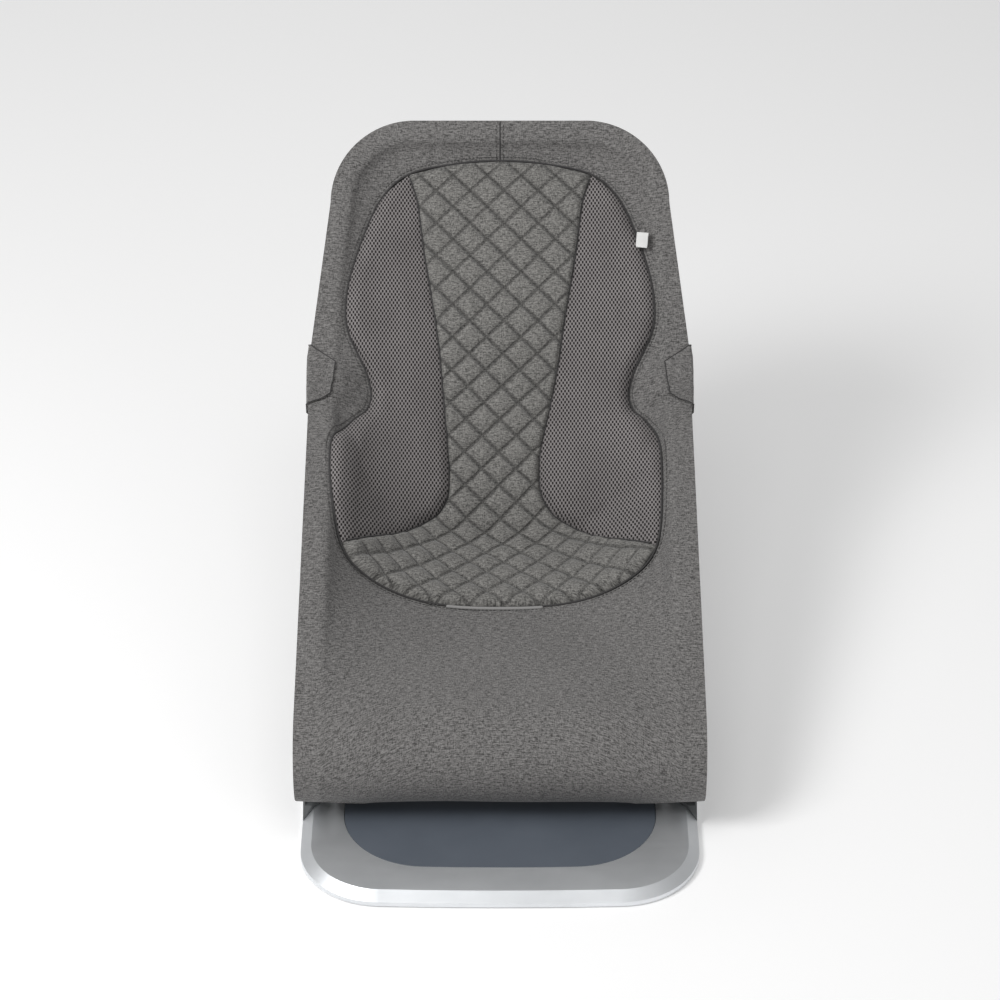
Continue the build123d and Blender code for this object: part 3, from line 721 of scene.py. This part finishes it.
def padded_panel(name, places, height, material):
    """A grid of places raised above the cover, with its rim closed down to the cover."""
    x, run = places[..., 0], places[..., 1]
    rows, columns = x.shape
    top = on_cover(x, run, height(x, run))
    below = on_cover(x, run, np.full(x.shape, 0.0004))
    points = np.concatenate([top.reshape(-1, 3), below.reshape(-1, 3)])
    if material is mesh_cloth:
        lengths = np.stack([top[..., 0], (top[..., 1] + top[..., 2]) * sqrt(0.5)], -1)
    else:
        lengths = cloth_lengths(x, run)
    cloth = np.concatenate([lengths.reshape(-1, 2)] * 2)
    count = rows * columns
    faces = grid_faces(rows, columns) + grid_faces(rows, columns, count, flip=True)
    for a, b in rim_pairs(rows, columns):
        faces.append((a, a + count, b + count, b))
    return make_object(name, points, faces, material, cloth)


def build_insert():
    rows, columns = 330, 150
    left, right = seam_line(-1, rows)[::-1], seam_line(1, rows)[::-1]
    half = columns // 2
    bottom_right = outline_part(1, 0, corner_low, half + 1)
    bottom_left = outline_part(-1, 0, corner_low, half + 1)[::-1]
    top_right = outline_part(1, corner_high, 24, half + 1)[::-1]
    top_left = outline_part(-1, corner_high, 24, half + 1)
    bottom, top = [
        spline_through(np.concatenate([first[:-1:6], second[::6], second[-1:]]), columns)
        for first, second in ((bottom_left, bottom_right), (top_left, top_right))
    ]
    bottom[0], bottom[-1], top[0], top[-1] = left[0], right[0], left[-1], right[-1]
    places = coons(bottom, top, left, right)
    centre = padded_panel("insert_centre", places, centre_height, quilt_cloth)
    lattice = np.zeros((2, places[..., 0].size, 3), np.float32)
    lattice[..., :2] = np.stack(quilt_place(places[..., 0].ravel(), places[..., 1].ravel()), -1)
    attribute = centre.data.attributes.new("lattice", "FLOAT_VECTOR", "POINT")
    attribute.data.foreach_set("vector", lattice.ravel())
    sides = []
    for side, word in ((1, "right"), (-1, "left")):
        inner = seam_line(side, 300)[::-1]
        outer = outline_part(side, corner_low, corner_high, 300)
        outer[0], outer[-1] = inner[0], inner[-1]
        share = np.linspace(0, 1, 90)[None, :, None]
        places = inner[:, None] * (1 - share) + outer[:, None] * share
        if side < 0:
            places = places[:, ::-1]
        sides.append(padded_panel(f"insert_{word}_side", places, side_height, mesh_cloth))
    return centre, sides


def offset_line(path, amount, closed=True):
    """A line on the cloth, moved sideways: out of a closed outline that runs anticlockwise."""
    ahead = np.roll(path, -1, 0) - np.roll(path, 1, 0)
    ahead /= np.linalg.norm(ahead, axis=1, keepdims=True)
    return path + amount * np.stack([ahead[:, 1], -ahead[:, 0]], -1)


def dashes(line_points, dash=0.0026, gap=0.0014):
    """Cuts a line on the cloth into stitches."""
    run = np.concatenate([[0], np.cumsum(np.linalg.norm(np.diff(line_points, axis=0), axis=1))])
    pieces = []
    place = 0.0
    while place + dash < run[-1]:
        wanted = np.linspace(place, place + dash, 4)
        pieces.append(np.stack([np.interp(wanted, run, line_points[:, k]) for k in (0, 1)], -1))
        place += dash + gap
    return pieces


def stitches(name, lines, height, radius=0.00042):
    paths = []
    for cloth_line in lines:
        for piece in dashes(cloth_line):
            lift = np.array([0.0, 1.0, 1.0, 0.0]) * radius * 0.9
            paths.append((on_cover(piece[:, 0], piece[:, 1], height + lift), False))
    return make_tube(name, paths, radius, stitch_thread, sides=6)


def straight(start, end, count=40):
    return np.array(start) + (np.array(end) - np.array(start)) * np.linspace(0, 1, count)[:, None]


cover = build_cover()
insert_centre, insert_sides = build_insert()
piping_line = offset_line(outline, 0.0006)[:-1]
piping = make_tube(
    "insert_piping",
    [(on_cover(piping_line[:, 0], piping_line[:, 1], np.full(len(piping_line), 0.0012)), True)],
    0.0011,
    dark_piping,
)
seam_piping = make_tube(
    "insert_seams",
    [(on_cover(s[2:-2, 0], s[2:-2, 1], np.full(len(s) - 4, 0.0062)), False) for s in seams.values()],
    0.0010,
    dark_piping,
)
insert_top = hub_run + outline_half_points[-1][1]
top_seam_line = straight((0, insert_top + 0.001), (0, top_run - 0.001), 60)
top_seam = make_tube(
    "top_seam",
    [(on_cover(top_seam_line[:, 0], top_seam_line[:, 1], np.full(60, 0.0002)), False)],
    0.0007,
    dark_piping,
)
topstitch = stitches(
    "cover_topstitch",
    [
        offset_line(outline, 0.0042)[:-1],
        top_seam_line + np.array((0.0036, 0)),
        top_seam_line - np.array((0.0036, 0)),
    ],
    0.0001,
)

# ---------------------------------------------------------------- hub patches, bar tacks, slot and tag
patch_corners = [(0.000, -0.052), (0.023, -0.026), (0.0275, 0.029), (0.000, 0.048)]  # (inwards, up)


def build_patch(side):
    """A five-sided patch over the hub, wrapped round the cover's edge to its rear."""
    rows, columns = 60, 41
    ups = np.linspace(patch_corners[0][1], patch_corners[-1][1], rows)
    inward = np.interp(ups, [c[1] for c in patch_corners], [c[0] for c in patch_corners])
    inward = np.maximum(inward, 0.0004)
    run = np.repeat((ups + hub_run)[:, None], columns, 1)
    share = np.linspace(-1, 1, columns)[None]
    reach = inward[:, None] * share**2
    half = outline_half(run) - 0.00005
    x = side * (half - reach)
    front = cover_point(x, run)
    rear = cover_point(x, run, rear=True)
    place = np.where((share < 0)[..., None], rear, front)
    normal = np.cross(np.gradient(place, axis=1), np.gradient(place, axis=0)) * -side
    away = normal / (np.linalg.norm(normal, axis=-1, keepdims=True) + 1e-12)
    place = place + away * 0.0024
    count = rows * columns
    points = np.concatenate([place.reshape(-1, 3), (place - away * 0.0020).reshape(-1, 3)])
    steps = np.linalg.norm(np.diff(place, axis=1), axis=-1)
    lengths = np.concatenate([np.zeros((rows, 1)), np.cumsum(steps, 1)], 1)
    cloth = np.stack([(side * (lengths - lengths[:, -1:] / 2)).ravel(), run.ravel()], -1)
    faces = grid_faces(rows, columns, 0, side < 0) + grid_faces(rows, columns, count, side > 0)
    rim = [pair[0] for pair in rim_pairs(rows, columns)]
    for a, b in rim_pairs(rows, columns):
        faces.append((a, a + count, b + count, b))
    word = "right" if side > 0 else "left"
    patch = make_object(f"{word}_hub_patch", points, faces, cover_cloth, np.concatenate([cloth, cloth]))
    border = place.reshape(-1, 3)[rim]
    edge = make_tube(f"{word}_patch_edge", [(border, True)], 0.0006, dark_piping, sides=6)
    return patch, edge


patches = [build_patch(side) for side in (1, -1)]
tack_run = hub_run - 0.2735
tack_places = (-0.067, 0.053)
tack_half, tack_pitch = 0.006, 0.0008
tacks = stitches(
    "bar_tacks",
    [
        straight((x - tack_half, tack_run + k * tack_pitch), (x + tack_half, tack_run + k * tack_pitch), 8)
        for x in tack_places
        for k in range(4)
    ],
    0.0006,
    0.0006,
)
slot_line = straight((-0.055, 0), (0.044, 0), 60)
slot_line[:, 1] = hub_run - 0.2752 + 0.45 * slot_line[:, 0] ** 2
slot_edge = make_tube(
    "harness_slot_edge",
    [(on_cover(slot_line[:, 0], slot_line[:, 1], np.full(60, 0.0010)), False)],
    0.0018,
    slot_tape,
)


def build_tag():
    """A small blank ribbon, folded and sewn into the insert's edge."""
    size, thick, turn = 0.0160, 0.0009, radians(-11)
    centre_x, centre_run = 0.1555, hub_run + 0.1612
    heart = on_cover(centre_x, centre_run, 0.0082)
    normal = surface_normal(np.array(centre_x), np.array(centre_run))
    right = np.cross(np.array((0.0, cos(back_rise), sin(back_rise))), normal)
    up = np.cross(normal, right)
    share = np.linspace(-0.5, 0.5, 17)
    a, b = (grid[..., None] * size for grid in np.meshgrid(share, share))
    curl_up = 0.0022 * (a / size + 0.5) ** 2 + 0.0003 * np.sin(b / size * 5)
    flat = heart + (a * cos(turn) - b * sin(turn)) * right + (a * sin(turn) + b * cos(turn)) * up
    points = np.concatenate([(flat + normal * (curl_up + k * thick)).reshape(-1, 3) for k in (1, 0)])
    count = share.size**2
    faces = grid_faces(len(share), len(share)) + grid_faces(len(share), len(share), count, flip=True)
    for p, q in rim_pairs(len(share), len(share)):
        faces.append((p, p + count, q + count, q))
    cloth = np.concatenate([np.concatenate([a, b], -1).reshape(-1, 2)] * 2)
    return make_object("blank_side_tag", points, faces, tag_ribbon, cloth)


tag = build_tag()

# ---------------------------------------------------------------- hard parts
hard = {
    "base_ring": hard_material(
        "anodised_base", (0.74, 0.76, 0.78, 1), (0.84, 0.86, 0.88, 1), 0.42, 0.85, (30, 1800, 1800), 0.00008
    ),
    "base_inlay": hard_material(
        "slate_panel", (0.090, 0.106, 0.130, 1), (0.105, 0.122, 0.148, 1), 0.58, 0.0, (1500,) * 3, 0.00012
    ),
    "base_tray": hard_material("tray_plastic", (0.035, 0.035, 0.038, 1), (0.055, 0.055, 0.058, 1), 0.6),
    "foot_pads": hard_material("foot_rubber", (0.020, 0.020, 0.020, 1), (0.032, 0.032, 0.032, 1), 0.85),
    "boot": hard_material("boot_plastic", (0.085, 0.091, 0.093, 1), (0.110, 0.117, 0.119, 1), 0.5),
    "pin": hard_material("pin_steel", (0.45, 0.46, 0.48, 1), (0.58, 0.59, 0.61, 1), 0.32, 1.0),
    "tube": hard_material("coated_tube", (0.20, 0.205, 0.21, 1), (0.27, 0.275, 0.28, 1), 0.42, 0.4),
    "socket": hard_material("black_nylon", (0.030, 0.030, 0.032, 1), (0.048, 0.048, 0.050, 1), 0.55),
    "button": hard_material("button_plastic", (0.13, 0.135, 0.14, 1), (0.17, 0.175, 0.18, 1), 0.48),
}
finish_words = (
    ("base_ring", "base_ring"), ("base_inlay", "base_inlay"), ("base_tray", "base_tray"),
    ("foot_pads", "foot_pads"), ("boot_screws", "pin"), ("_boot", "boot"), ("_pin", "pin"),
    ("spring", "pin"), ("_tube", "tube"), ("_loop", "tube"), ("_rod", "tube"), ("socket", "socket"),
    ("gear", "socket"), ("hub_outer", "socket"), ("hub_inner", "socket"), ("button", "button"),
)  # fmt: skip
for node_name, node in nodes.items():
    for word, finish in finish_words:
        if word in node_name:
            for material_slot in node.material_slots:
                material_slot.material = hard[finish]
            break


def across_hubs(piece, slot, *cad):
    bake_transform(piece)
    if cad:
        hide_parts(*cad)


cover_nodes = ["nose_cover", "seat_cover", "back_cover", "back_sleeve"]
cover_nodes += [f"{side}_{part}" for side in ("left", "right") for part in ("seat_sleeve", "leg_sleeve")]
across_hubs(cover, "cover_fabric", *cover_nodes)
across_hubs(insert_centre, "quilt_fabric", "seat_pad", "back_pad")
for panel, word in zip(insert_sides, ("right", "left")):
    across_hubs(panel, "mesh_fabric", f"{word}_seat_bolster", f"{word}_back_bolster")
for piece in (piping, seam_piping, top_seam, topstitch, tacks, slot_edge):
    across_hubs(piece, "cover_fabric")
for (patch, edge), word in zip(patches, ("right", "left")):
    across_hubs(patch, "cover_fabric", f"{word}_hub_flap")
    across_hubs(edge, "cover_fabric")
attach(tag, "backrest")
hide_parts("side_tag")

# A pressed button slides its lock gear inwards, so each spring shortens towards its inner end. Here each
# spring only gets its own copy of its mesh.
for word in ("right", "left"):
    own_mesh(nodes[f"{word}_lock_spring"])


# ---------------------------------------------------------------- floor, light and camera
def add_floor():
    mesh = bpy.data.meshes.new("floor")
    size = 12.0
    corners = [(-size, -size, 0), (size, -size, 0), (size, size, 0), (-size, size, 0)]
    mesh.from_pydata(corners, [], [(0, 1, 2, 3)])
    floor = bpy.data.objects.new("floor", mesh)
    bpy.context.scene.collection.objects.link(floor)
    material, tree, shader = new_material("pale_floor")
    shader.inputs["Base Color"].default_value = (0.94, 0.94, 0.94, 1)
    shader.inputs["Roughness"].default_value = 0.9
    shader.inputs["Emission Color"].default_value = (1, 1, 1, 1)
    shader.inputs["Emission Strength"].default_value = 0.14
    mesh.materials.append(material)


def add_light(name, place, target, size, power):
    light = bpy.data.lights.new(name, "AREA")
    light.shape = "RECTANGLE"
    light.size, light.size_y = size
    light.energy = power
    lamp = bpy.data.objects.new(name, light)
    lamp.location = place
    lamp.rotation_euler = (Vector(target) - Vector(place)).to_track_quat("-Z", "Y").to_euler()
    bpy.context.scene.collection.objects.link(lamp)


def add_world(strength):
    world = bpy.data.worlds.new("studio")
    bpy.context.scene.world = world
    world.use_nodes = True
    world.node_tree.nodes["Background"].inputs[0].default_value = (1, 1, 1, 1)
    world.node_tree.nodes["Background"].inputs[1].default_value = strength


def add_camera():
    lens = bpy.data.cameras.new("camera")
    lens.lens = 121.07
    lens.sensor_width = 36.0
    lens.clip_end = 50
    camera = bpy.data.objects.new("camera", lens)
    camera.location = (0, front_y - 2.472, 2.069)
    camera.rotation_euler = (radians(90 - 33.0), 0, 0)
    bpy.context.scene.collection.objects.link(camera)
    bpy.context.scene.camera = camera


add_floor()
bpy.context.scene.view_settings.view_transform = "Standard"
add_light("key", (-1.8, -1.2, 2.35), (0, 0, 0.2), (1.1, 1.1), 50)
add_light("fill", (1.9, -2.2, 1.6), (0, 0, 0.2), (2.0, 2.0), 8)
add_light("top", (0.0, -0.45, 2.9), (0, 0, 0.2), (1.6, 1.0), 12)
add_light("behind", (-0.6, 2.6, 1.9), (0, 0, 0.2), (2.4, 1.2), 5)
add_world(0.36)
add_camera()
